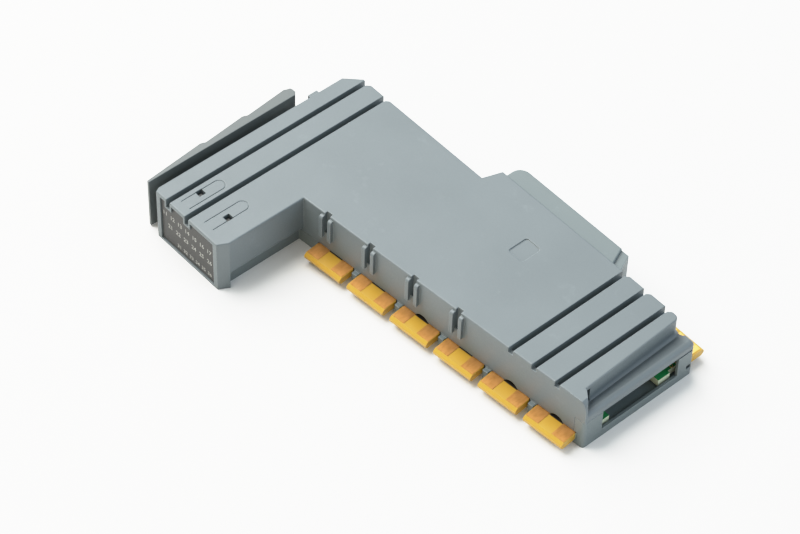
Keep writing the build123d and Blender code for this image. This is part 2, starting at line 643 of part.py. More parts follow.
def pegs():
    """Pegs that carry and centre the board."""
    bottom = (Align.CENTER, Align.CENTER, Align.MIN)
    group = Part()
    for x, y in PEG_PLACES:
        group += Pos(x, y, FLOOR_T) * Cylinder(PEG_SEAT_R, BOARD_Z - FLOOR_T, align=bottom)
        peg = Pos(x, y, FLOOR_T) * Cylinder(PEG_R, TOP_Z + PEG_H - FLOOR_T, align=bottom)
        group += chamfer(peg.edges().sort_by(Axis.Z)[-1], PEG_R / 3)
    return group


def base_shell():
    """Lower tray: floor, walls, tongue slots, end window and bus guide block."""
    base = base_walls() + end_blocks() + wall_stubs() + guide_block()
    base -= tongue_slots()
    base -= end_window()
    base -= end_key()
    base += pegs()
    base += hinge_ear(EAR_Z, EAR_Z + EAR_Z - LEVER_Z0, EAR_Z + EAR_T + 1)
    return base


# --------------------------------------------------------------------- the board
def board_outline():
    """Board inside the base shell, with six front tongues and one bus tongue."""
    inside = WALL + BOARD_GAP
    face = offset(base_outline(), -inside)
    end_x = HOUSING_L - SILL_T - BOARD_GAP
    front_y0, back_y0 = WINDOW_Y0 - BOARD_GAP, WINDOW_Y1 - END_TAB_BACK
    for y0 in (front_y0, back_y0):
        face += Pos(end_x - END_NOTCH, y0) * Rectangle(END_NOTCH, END_TAB_W, align=Align.MIN)
    between = back_y0 - front_y0 - END_TAB_W
    face -= Pos(end_x - END_NOTCH, front_y0 + END_TAB_W) * Rectangle(
        2 * END_NOTCH, between, align=Align.MIN)
    for i in range(TONGUES):
        face += FRONT * Pos(tongue_u(i), -TONGUE_OUT) * Rectangle(
            TONGUE_W, TONGUE_OUT + inside + 1, align=Align.MIN)
    root = 2 * WALL - FIT_GAP
    face += Pos(BUS_TONGUE_X, LOWER_BACK - root) * Rectangle(
        BUS_TONGUE_L, BUS_TONGUE_OUT + root, align=Align.MIN)
    for x, y in PEG_PLACES:
        face -= Pos(x, y) * Circle(PEG_R + PEG_FIT)
    return face


def main_board():
    """Circuit board with bevelled tongue tips."""
    board = prism(board_outline(), BOARD_Z, TOP_Z)
    tips = [e for e in board.edges()
            if e.geom_type == GeomType.LINE and abs(e.length - TONGUE_W) < 0.01
            and e.center().Y < front_y(e.center().X) - TONGUE_OUT / 2]
    back = board.edges().filter_by_position(
        Axis.Y, LOWER_BACK + BUS_TONGUE_OUT - 0.01, LOWER_BACK + BUS_TONGUE_OUT + 0.01)
    tips += [e for e in back if e.length > BUS_TONGUE_L - 0.01]
    return chamfer(tips, TONGUE_BEVEL)


def terminal_contacts():
    """Two flat contacts on each front tongue, one along each side."""
    pads = []
    for i in range(TONGUES):
        left = tongue_u(i) + PAD_INSET
        right = tongue_u(i) + TONGUE_W - PAD_INSET - PAD_W
        for u in (left, right):
            pads.append(FRONT * block(u, u + PAD_W, PAD_SETBACK - TONGUE_OUT, PAD_TAIL,
                                      TOP_Z, TOP_Z + PAD_T))
    return pads


def bus_contacts():
    """Row of flat contacts on the bus tongue."""
    pitch = BUS_TONGUE_L / BUS_PADS
    y1 = LOWER_BACK + BUS_TONGUE_OUT - PAD_SETBACK
    return [block(BUS_TONGUE_X + (i + 0.5) * pitch - BUS_PAD_W / 2,
                  BUS_TONGUE_X + (i + 0.5) * pitch + BUS_PAD_W / 2,
                  LOWER_BACK - PAD_TAIL, y1, TOP_Z, TOP_Z + PAD_T) for i in range(BUS_PADS)]


# --------------------------------------------------------- label and light guide
def status_label():
    """Dark label plate set back in the nose's frame."""
    return label_face(0, LABEL_RECESS, LABEL_RECESS + LABEL_T)


def guide_carrier():
    """Frame behind the label, held by two arms whose noses sit in the square holes."""
    y0 = FRAME_T + FIT_GAP
    y1 = y0 + CARRIER_T
    z0 = TOP_Z + CARRIER_FOOT
    carrier = block(NOSE_MID - CARRIER_W / 2, NOSE_MID + CARRIER_W / 2, y0, y1,
                    z0, z0 + CARRIER_H)
    carrier -= guide_opening(FIT_GAP)
    arm_top = CEILING_Z - ARM_DROP
    for slit_x, x in SNAPS:
        arm_x = x + (slit_x + SNAP_W / 2 - x) / 3 - ARM_W / 2
        carrier += block(arm_x, arm_x + ARM_W, y0, y1, GUIDE_BAR_Z1 + 2 * FIT_GAP, arm_top)
        carrier += block(arm_x, arm_x + ARM_W, y0, y0 + ARM_LEN + SNAP_NOSE / 2,
                         arm_top - ARM_T, arm_top)
        carrier += block(x - SNAP_NOSE / 2, x + SNAP_NOSE / 2,
                         SNAP_HOLE_Y - SNAP_NOSE / 2, SNAP_HOLE_Y + SNAP_NOSE / 2,
                         arm_top - ARM_T / 2, arm_top + SNAP_NOSE_H)
    return carrier


def pipe_places():
    """X of each light pipe."""
    pitch = (GUIDE_BAR_W - 2 * PIPE_END - PIPE_W) / (PIPES - 1)
    return [NOSE_MID + (i - (PIPES - 1) / 2) * pitch for i in range(PIPES)]


def light_guide():
    """Clear bar behind the label with a pipe down to each status lamp."""
    bar = guide_opening(0)
    for x in pipe_places():
        bar += block(x - PIPE_W / 2, x + PIPE_W / 2, GUIDE_BAR_BACK - PIPE_W, GUIDE_BAR_BACK,
                     TOP_Z + LED_H + PIPE_GAP, GUIDE_BAR_Z1)
    return bar


def status_lamps():
    """Small lamps on the board under the light pipes."""
    y = GUIDE_BAR_BACK - PIPE_W / 2
    return [block(x - LED_W / 2, x + LED_W / 2, y - LED_L / 2 + LED_W / 2,
                  y + LED_L / 2 + LED_W / 2, TOP_Z, TOP_Z + LED_H) for x in pipe_places()]


# ----------------------------------------------------------------- release lever
def lever_outline():
    """Wedge with saw teeth on its outer side and a flat inner side that leans out."""
    points = [(-LEVER_GAP, LEVER_Y0), (-LEVER_GAP - LEVER_T0, LEVER_Y0)]
    for i in range(TEETH):
        y = TOOTH_Y0 + i * TOOTH_PITCH
        out = TOOTH_OUT0 + i * TOOTH_GROW
        points += [(-out, y), (TOOTH_DROP - out, y + TOOTH_RUN)]
    inner_x = -LEVER_GAP - LEVER_LEAN
    points += [(TOOTH_DROP - out, LEVER_END_Y - LEVER_END_CUT / 3),
               (TOOTH_DROP - out + LEVER_END_CUT, LEVER_END_Y),
               (inner_x - LEVER_END_CUT, LEVER_END_Y), (inner_x, LEVER_END_Y - LEVER_END_CUT)]
    return Polygon(*points, align=None)


def release_lever():
    """Lever with the barrel that runs on the hinge pin."""
    barrel_z0 = EAR_Z + EAR_T + EAR_GAP
    barrel_z1 = EAR_TOP_Z - EAR_GAP
    height = barrel_z1 - barrel_z0
    middle = Pos(-HINGE_X, HINGE_Y, (barrel_z0 + barrel_z1) / 2)
    lever = prism(lever_outline(), LEVER_Z0, LEVER_Z1)
    lever += middle * Cylinder(BARREL_R, height)
    lever += block(-LEVER_GAP - LEVER_T0 / 2, -HINGE_X, HINGE_Y - BARREL_R / 2,
                   HINGE_Y + BARREL_R / 2, barrel_z0, barrel_z1)
    return lever - middle * Cylinder(PIN_R + PIN_FIT, height)


def hinge_pin():
    """Steel pin through the lever's barrel into both ears."""
    z0 = EAR_Z + EAR_Z - LEVER_Z0
    z1 = EAR_TOP_Z + EAR_T - LEVER_Z0
    return Pos(-HINGE_X, HINGE_Y, (z0 + z1) / 2) * Cylinder(PIN_R, z1 - z0)


def spring_slot():
    """Slot in the top-end wall for the hooked root of the leaf spring."""
    half = SPRING_T / 2 + SPRING_FIT
    return block(-1, WALL + 1, SPRING_Y - half, SPRING_Y + half,
                 SPRING_Z - SPRING_FIT, SPRING_Z + SPRING_W + SPRING_FIT)


def lever_spring():
    """Leaf spring: hooked through the wall, lying on it, then bent out to the lever."""
    face_x = -SPRING_FIT - SPRING_T / 2
    tip_y = SPRING_Y + SPRING_FOOT + SPRING_REACH
    lean = LEVER_LEAN * (tip_y - LEVER_Y0) / (LEVER_END_Y - LEVER_Y0)
    tip_x = -LEVER_GAP - lean + SPRING_TIP_GAP + SPRING_T / 2
    path = FilletPolyline(
        (WALL + SPRING_FIT + SPRING_T / 2, SPRING_Y + SPRING_HOOK),
        (WALL + SPRING_FIT + SPRING_T / 2, SPRING_Y), (face_x, SPRING_Y),
        (face_x, SPRING_Y + SPRING_FOOT), (tip_x, tip_y), (tip_x + SPRING_T, tip_y + SPRING_HOOK),
        radius=SPRING_T)
    return prism(trace(path, SPRING_T), SPRING_Z, SPRING_Z + SPRING_W)


# ------------------------------------------------------------------- electronics
def part_box(x, y, size, lift=0.0):
    """Moulded body of a board part, centred on x, y."""
    return block(x - size[0] / 2, x + size[0] / 2, y - size[1] / 2, y + size[1] / 2,
                 TOP_Z + lift, TOP_Z + size[2])


def row_places(count, pitch, start, v):
    """Centres along the front wall, set back from it by v."""
    return [FRONT * Pos(start + i * pitch, v) for i in range(count)]


def tongue_centres(v):
    """One place behind each front tongue."""
    return row_places(TONGUES, TONGUE_PITCH, TONGUE_START + TONGUE_W / 2, v)


def optocouplers():
    """Isolating couplers, one behind each tongue."""
    return [place * part_box(0, 0, OPTO, LEAD_T) for place in tongue_centres(OPTO_V)]


def output_drivers():
    """Driver chips, one to each pair of channels."""
    return [place * part_box(0, 0, DRIVER, LEAD_T) for place in tongue_centres(DRIVER_V)[1:-1]]


def protection_diodes():
    """Clamping diodes in a row behind the drivers."""
    return [place * part_box(0, 0, DIODE) for place in tongue_centres(DIODE_V)[1:-2]]


def ceramic_capacitors():
    """Filter capacitors, two behind each tongue."""
    return [place * Pos(side * TONGUE_W / 4, 0) * part_box(0, 0, CAP)
            for place in tongue_centres(CAP_V) for side in (-1, 1)]


def chip_resistors():
    """Resistors in pairs between couplers and drivers."""
    return [place * Pos(side * RESISTOR[0], 0) * part_box(0, 0, RESISTOR)
            for place in tongue_centres(RESISTOR_V)[1:] for side in (-1, 1)]


def side_leads(count, pitch, size):
    """Flat leads on the two sides of a chip centred on the origin."""
    leads = []
    for i in range(count):
        x = (i - (count - 1) / 2) * pitch
        for side in (-1, 1):
            y = side * (size[1] / 2 + LEAD_OUT / 2)
            leads.append(block(x - LEAD_W / 2, x + LEAD_W / 2, y - LEAD_OUT / 2,
                               y + LEAD_OUT / 2, TOP_Z, TOP_Z + LEAD_T))
    return leads


def driver_leads():
    """Leads of the driver chips and of the optocouplers."""
    leads = []
    for place in tongue_centres(DRIVER_V)[1:-1]:
        leads += [place * lead for lead in side_leads(3, SO_PITCH, DRIVER)]
    for place in tongue_centres(OPTO_V):
        leads += [place * lead for lead in side_leads(2, 2 * SO_PITCH, OPTO)]
    return leads


def controller_place():
    """Middle of the controller."""
    return Pos(NOSE_W - CONTROLLER_IN[0], UPPER_BACK - CONTROLLER_IN[1], 0)


def controller_chip():
    """Main controller in a square flat package."""
    body = part_box(0, 0, CONTROLLER, LEAD_T)
    return controller_place() * chamfer(body.faces().sort_by(Axis.Z)[-1].edges(), LEAD_T)


def controller_leads():
    """Leads on all four sides of the controller."""
    count = int(CONTROLLER[0] / LEAD_PITCH) - 2
    leads = []
    for turn in (0, 90):
        place = controller_place() * Rot(0, 0, turn)
        leads += [place * lead for lead in side_leads(count, LEAD_PITCH, CONTROLLER)]
    return leads


def crystal():
    """Clock crystal in a metal can, beside the controller."""
    x = CONTROLLER[0] / 2 + LEAD_OUT + CRYSTAL_GAP + CRYSTAL[0] / 2
    return controller_place() * part_box(x, -CONTROLLER[1] / 2, CRYSTAL)


def bus_chip():
    """Bus interface chip without leads."""
    return part_box(BUS_TONGUE_X + BUS_CHIP_IN[0], LOWER_BACK - BUS_CHIP_IN[1], BUS_CHIP)


def power_inductor():
    """Shielded inductor of the internal supply."""
    body = part_box(BUS_TONGUE_X - INDUCTOR_IN[0], LOWER_BACK - INDUCTOR_IN[1], INDUCTOR)
    return chamfer(body.edges().filter_by(Axis.Z), INDUCTOR[0] / 6)


def can_capacitors():
    """Round aluminium capacitors on square plastic feet."""
    cans = []
    for i in range(2):
        x, y = NOSE_W + CAN_IN[0] + i * CAN_PITCH, UPPER_BACK - CAN_IN[1]
        foot = part_box(x, y, (2 * CAN_R, 2 * CAN_R, LEAD_W))
        can = Pos(x, y, TOP_Z + CAN_H / 2) * Cylinder(CAN_R, CAN_H)
        cans.append(foot + chamfer(can.edges().sort_by(Axis.Z)[-1], LEAD_W))
    return cans


def tantalum_capacitors():
    """Moulded block capacitors along the back wall, as many as fit before the inductor."""
    first = GUIDE_X0 + TANTALUM_IN[0]
    room = BUS_TONGUE_X - INDUCTOR_IN[0] - INDUCTOR[0] / 2 - first + TANTALUM[0] / 2
    return [part_box(first + i * TANTALUM_PITCH, LOWER_BACK - TANTALUM_IN[1], TANTALUM)
            for i in range(int(room / TANTALUM_PITCH))]


PARTS = {
    "side_cover": side_cover, "base_shell": base_shell, "status_label": status_label,
    "guide_carrier": guide_carrier, "light_guide": light_guide, "status_lamps": status_lamps,
    "release_lever": release_lever, "hinge_pin": hinge_pin, "lever_spring": lever_spring,
    "main_board": main_board, "terminal_contacts": terminal_contacts,
    "bus_contacts": bus_contacts, "controller_chip": controller_chip,
    "controller_leads": controller_leads, "bus_chip": bus_chip, "crystal": crystal,
    "optocouplers": optocouplers, "output_drivers": output_drivers,
    "driver_leads": driver_leads, "protection_diodes": protection_diodes,
    "ceramic_capacitors": ceramic_capacitors, "chip_resistors": chip_resistors,
    "can_capacitors": can_capacitors, "tantalum_capacitors": tantalum_capacitors,
    "power_inductor": power_inductor,
}


def main():
    """Build every piece, move the origin to the middle of the base, and write the files."""
    os.makedirs("parts", exist_ok=True)
    built = {}
    for name, make in PARTS.items():
        made = make()
        solids = made if isinstance(made, list) else made.solids()
        built[name] = Compound([s for item in solids for s in item.solids()])
    box = Compound(list(built.values())).bounding_box()
    origin = Pos(-(box.min.X + box.max.X) / 2, -(box.min.Y + box.max.Y) / 2, -box.min.Z)
    for name, shape in built.items():
        export_step(origin * shape, f"parts/{name}.step")
    hinge = origin * Pos(-HINGE_X, HINGE_Y, 0)
    print("size", [round(v, 3) for v in box.size], "origin", origin.position)
    print("hinge axis at", hinge.position)


main()
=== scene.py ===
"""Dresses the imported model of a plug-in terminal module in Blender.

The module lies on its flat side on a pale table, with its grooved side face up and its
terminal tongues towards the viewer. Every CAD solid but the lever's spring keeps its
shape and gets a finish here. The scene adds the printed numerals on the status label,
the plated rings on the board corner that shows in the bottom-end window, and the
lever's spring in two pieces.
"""

import logging
import math
from dataclasses import dataclass, field
from enum import Enum

import bmesh
import bpy
from mathutils import Matrix, Vector


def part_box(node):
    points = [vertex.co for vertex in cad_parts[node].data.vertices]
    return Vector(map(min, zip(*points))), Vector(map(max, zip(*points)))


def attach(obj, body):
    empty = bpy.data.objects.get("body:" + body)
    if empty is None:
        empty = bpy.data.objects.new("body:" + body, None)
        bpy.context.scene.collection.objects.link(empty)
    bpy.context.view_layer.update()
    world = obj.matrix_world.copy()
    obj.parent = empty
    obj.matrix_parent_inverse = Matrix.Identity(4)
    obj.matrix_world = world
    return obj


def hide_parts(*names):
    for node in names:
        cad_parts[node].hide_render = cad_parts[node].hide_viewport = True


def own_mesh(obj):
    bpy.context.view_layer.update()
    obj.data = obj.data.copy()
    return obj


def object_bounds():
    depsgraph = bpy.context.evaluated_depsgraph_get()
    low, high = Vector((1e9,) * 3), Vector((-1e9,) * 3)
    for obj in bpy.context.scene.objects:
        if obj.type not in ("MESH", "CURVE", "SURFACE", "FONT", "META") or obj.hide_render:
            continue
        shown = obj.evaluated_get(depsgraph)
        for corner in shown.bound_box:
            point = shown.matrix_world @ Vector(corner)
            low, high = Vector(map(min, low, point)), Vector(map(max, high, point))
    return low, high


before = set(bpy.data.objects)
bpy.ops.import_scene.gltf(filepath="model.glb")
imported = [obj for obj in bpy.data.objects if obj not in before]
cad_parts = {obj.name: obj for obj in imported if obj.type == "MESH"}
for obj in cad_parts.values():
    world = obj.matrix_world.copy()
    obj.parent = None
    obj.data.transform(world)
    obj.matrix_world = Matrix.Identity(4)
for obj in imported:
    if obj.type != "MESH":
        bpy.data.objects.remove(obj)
CAD_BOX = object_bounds()

MM = 0.001
HOUSING = "housing"
BAND_RADIANS = 20.0  # what Blender's band wave turns through in a unit of scale

Span = tuple[float, float]
Settings = dict[str | int, object]
Links = dict[str | int, tuple[bpy.types.Node, str | int]]

log = logging.getLogger("terminal_module")


# ---------------------------------------------------------------- colour and nodes


def srgb(code: str) -> tuple[float, float, float, float]:
    """Turns an sRGB hex colour into linear values.

    Args:
        code: the colour as "#rrggbb".

    Returns:
        Linear red, green and blue, and an alpha of 1.
    """
    parts = [int(code[i : i + 2], 16) / 255 for i in (1, 3, 5)]
    linear = [p / 12.92 if p <= 0.04045 else ((p + 0.055) / 1.055) ** 2.4 for p in parts]
    return (linear[0], linear[1], linear[2], 1.0)


def per_mm(size_mm: float) -> float:
    """Gives a pattern's scale, in repeats a metre, from its real size in millimetres."""
    return 1.0 / (size_mm * MM)


@dataclass
class Sheet:
    """One material while it is being made: its node tree and where a point lies on it."""

    name: str
    material: bpy.types.Material = field(init=False)
    tree: bpy.types.NodeTree = field(init=False)
    here: Links = field(init=False)

    def __post_init__(self) -> None:
        """Starts the material with an empty tree that reads the part's own coordinates."""
        self.material = bpy.data.materials.new(self.name)
        self.material.use_nodes = True
        self.tree = self.material.node_tree
        self.tree.nodes.clear()
        self.here = {"Vector": (self.add("ShaderNodeTexCoord"), "Object")}

    def add(
        self,
        kind: str,
        settings: Settings | None = None,
        links: Links | None = None,
    ) -> bpy.types.Node:
        """Adds one node with its settings and its incoming links.

        Args:
            kind: the node's type, such as "ShaderNodeTexNoise".
            settings: values by name, for the node's own properties or its inputs.
            links: by input name or number, the (node, output) that feeds it.

        Returns:
            The new node.
        """
        node = self.tree.nodes.new(kind)
        for name, value in (settings or {}).items():
            if isinstance(name, str) and hasattr(node, name):
                setattr(node, name, value)
            else:
                node.inputs[name].default_value = value
        for name, (source, output) in (links or {}).items():
            self.tree.links.new(source.outputs[output], node.inputs[name])
        return node

    def close(self, shader: bpy.types.Node) -> bpy.types.Material:
        """Puts the shader on the material's output.

        Args:
            shader: the finished shader node.

        Returns:
            The finished material.
        """
        self.add("ShaderNodeOutputMaterial", links={"Surface": (shader, "BSDF")})
        return self.material


# ---------------------------------------------------------------- finishes


@dataclass(frozen=True)
class MouldedPlastic:
    """A glass-filled plastic, moulded in a spark-eroded tool.

    It gives the eye a dull, even skin with a fine spark grain, a tint that drifts a
    little from place to place, faint pale scuffs, and softly rounded edges with a painted
    highlight along them.
    """

    name: str
    light: str
    dark: str
    # edge is the colour of the painted highlight along every edge.
    edge: str
    roughness: float = 0.5
    ior: float = 1.585
    drift_mm: float = 14.0
    drift_span: Span = (0.32, 0.68)
    smudge_mm: float = 5.0
    smudge_span: Span = (0.6, 0.8)
    smudge_most: float = 0.16
    grain_mm: float = 0.35  # spark grain is about 0.1 mm, drawn coarser so that it shows
    grain_span: Span = (0.3, 0.7)
    grain_gloss: Span = (-0.06, 0.07)
    grain_height_mm: float = 0.012
    grain_strength: float = 0.5
    edge_mm: float = 0.2
    edge_turn: Span = (0.97, 0.72)
    edge_most: float = 0.8

    def build(self) -> bpy.types.Material:
        """Builds the material.

        Returns:
            The finished material.
        """
        sheet = Sheet(self.name)
        drift = sheet.add(
            "ShaderNodeTexNoise", {"Scale": per_mm(self.drift_mm), "Detail": 3.0}, sheet.here)
        grain = sheet.add(
            "ShaderNodeTexNoise",
            {"Scale": per_mm(self.grain_mm), "Detail": 4.0, "Roughness": 0.6}, sheet.here)
        cloud = sheet.add(
            "ShaderNodeMapRange",
            {"From Min": self.drift_span[0], "From Max": self.drift_span[1]},
            {"Value": (drift, "Fac")})
        tint = sheet.add(
            "ShaderNodeMix", {"data_type": "RGBA", 6: srgb(self.dark), 7: srgb(self.light)},
            {0: (cloud, "Result")})
        # The rounded normal leaves the flat one only near an edge.
        rounded = sheet.add("ShaderNodeBevel", {"samples": 6, "Radius": self.edge_mm * MM})
        flat = sheet.add("ShaderNodeNewGeometry")
        turn = sheet.add(
            "ShaderNodeVectorMath", {"operation": "DOT_PRODUCT"},
            {0: (rounded, "Normal"), 1: (flat, "True Normal")})
        # Painted highlight: the tint pales towards the edge colour where the rounded normal
        # turns from the flat one, along every edge.
        painted_edge_highlight = sheet.add(
            "ShaderNodeMapRange",
            {"From Min": self.edge_turn[0], "From Max": self.edge_turn[1],
             "To Max": self.edge_most},
            {"Value": (turn, "Value")})
        smudge = sheet.add(
            "ShaderNodeTexNoise",
            {"Scale": per_mm(self.smudge_mm), "Detail": 8.0, "Roughness": 0.7}, sheet.here)
        scuffed = sheet.add(
            "ShaderNodeMapRange",
            {"From Min": self.smudge_span[0], "From Max": self.smudge_span[1],
             "To Max": self.smudge_most},
            {"Value": (smudge, "Fac")})
        # The stronger of the pale scuffs and the painted edge highlight lifts the tint towards
        # the edge colour.
        scuffs_and_edge_highlight = sheet.add(
            "ShaderNodeMath", {"operation": "MAXIMUM"},
            {0: (painted_edge_highlight, "Result"), 1: (scuffed, "Result")})
        colour = sheet.add(
            "ShaderNodeMix", {"data_type": "RGBA", 7: srgb(self.edge)},
            {0: (scuffs_and_edge_highlight, "Value"), 6: (tint, 2)})
        rough = sheet.add(
            "ShaderNodeMapRange",
            {"From Min": self.grain_span[0], "From Max": self.grain_span[1],
             "To Min": self.roughness + self.grain_gloss[0],
             "To Max": self.roughness + self.grain_gloss[1]},
            {"Value": (grain, "Fac")})
        relief = sheet.add(
            "ShaderNodeBump",
            {"Strength": self.grain_strength, "Distance": self.grain_height_mm * MM},
            {"Height": (grain, "Fac"), "Normal": (rounded, "Normal")})
        return sheet.close(sheet.add(
            "ShaderNodeBsdfPrincipled", {"IOR": self.ior},
            {"Base Color": (colour, 2), "Roughness": (rough, "Result"),
             "Normal": (relief, "Normal")}))


@dataclass(frozen=True)
class CastBody:
    """A resin, ferrite or ceramic, cast or pressed and fired.

    It gives the eye a matt body with a mottle of filler grains. Printed ink is one too,
    with its thin places for grains.
    """

    name: str
    light: str
    dark: str
    roughness: float
    grain_mm: float  # filler is about 0.03 mm, drawn coarser so that it shows
    ior: float = 1.55
    grain_height_mm: float = 0.01
    grain_strength: float = 0.4
    mottle_span: Span = (0.35, 0.65)
    grain_span: Span = (0.3, 0.7)
    grain_gloss: Span = (-0.05, 0.08)

    def build(self) -> bpy.types.Material:
        """Builds the material.

        Returns:
            The finished material.
        """
        sheet = Sheet(self.name)
        grain = sheet.add(
            "ShaderNodeTexNoise",
            {"Scale": per_mm(self.grain_mm), "Detail": 4.0, "Roughness": 0.6}, sheet.here)
        mottle = sheet.add(
            "ShaderNodeMapRange",
            {"From Min": self.mottle_span[0], "From Max": self.mottle_span[1]},
            {"Value": (grain, "Fac")})
        tint = sheet.add(
            "ShaderNodeMix", {"data_type": "RGBA", 6: srgb(self.dark), 7: srgb(self.light)},
            {0: (mottle, "Result")})
        rough = sheet.add(
            "ShaderNodeMapRange",
            {"From Min": self.grain_span[0], "From Max": self.grain_span[1],
             "To Min": self.roughness + self.grain_gloss[0],
             "To Max": self.roughness + self.grain_gloss[1]},
            {"Value": (grain, "Fac")})
        relief = sheet.add(
            "ShaderNodeBump",
            {"Strength": self.grain_strength, "Distance": self.grain_height_mm * MM},
            {"Height": (grain, "Fac")})
        return sheet.close(sheet.add(
            "ShaderNodeBsdfPrincipled", {"IOR": self.ior},
            {"Base Color": (tint, 2), "Roughness": (rough, "Result"),
             "Normal": (relief, "Normal")}))


@dataclass(frozen=True)
class DrawnMetal:
    """A drawn, plated or rolled metal.

    It gives the eye a soft sheen with fine lines along the way it was drawn.
    """

    name: str
    light: str
    dark: str
    roughness: float
    line_mm: float  # die lines are about 0.02 mm, drawn coarser so that they show
    stretch: tuple[float, float, float] = (1.0, 1.0, 1.0)
    line_height_mm: float = 0.006
    line_strength: float = 0.3
    line_span: Span = (0.3, 0.7)
    line_gloss: Span = (-0.05, 0.1)

    def build(self) -> bpy.types.Material:
        """Builds the material.

        Returns:
            The finished material.
        """
        sheet = Sheet(self.name)
        along = sheet.add("ShaderNodeMapping", {"Scale": self.stretch}, sheet.here)
        lines = sheet.add(
            "ShaderNodeTexNoise",
            {"Scale": per_mm(self.line_mm), "Detail": 5.0, "Roughness": 0.6},
            {"Vector": (along, "Vector")})
        spread = sheet.add(
            "ShaderNodeMapRange",
            {"From Min": self.line_span[0], "From Max": self.line_span[1]},
            {"Value": (lines, "Fac")})
        tint = sheet.add(
            "ShaderNodeMix", {"data_type": "RGBA", 6: srgb(self.dark), 7: srgb(self.light)},
            {0: (spread, "Result")})
        rough = sheet.add(
            "ShaderNodeMapRange",
            {"From Min": self.line_span[0], "From Max": self.line_span[1],
             "To Min": self.roughness + self.line_gloss[0],
             "To Max": self.roughness + self.line_gloss[1]},
            {"Value": (lines, "Fac")})
        relief = sheet.add(
            "ShaderNodeBump",
            {"Strength": self.line_strength, "Distance": self.line_height_mm * MM},
            {"Height": (lines, "Fac")})
        return sheet.close(sheet.add(
            "ShaderNodeBsdfPrincipled", {"Metallic": 1.0},
            {"Base Color": (tint, 2), "Roughness": (rough, "Result"),
             "Normal": (relief, "Normal")}))


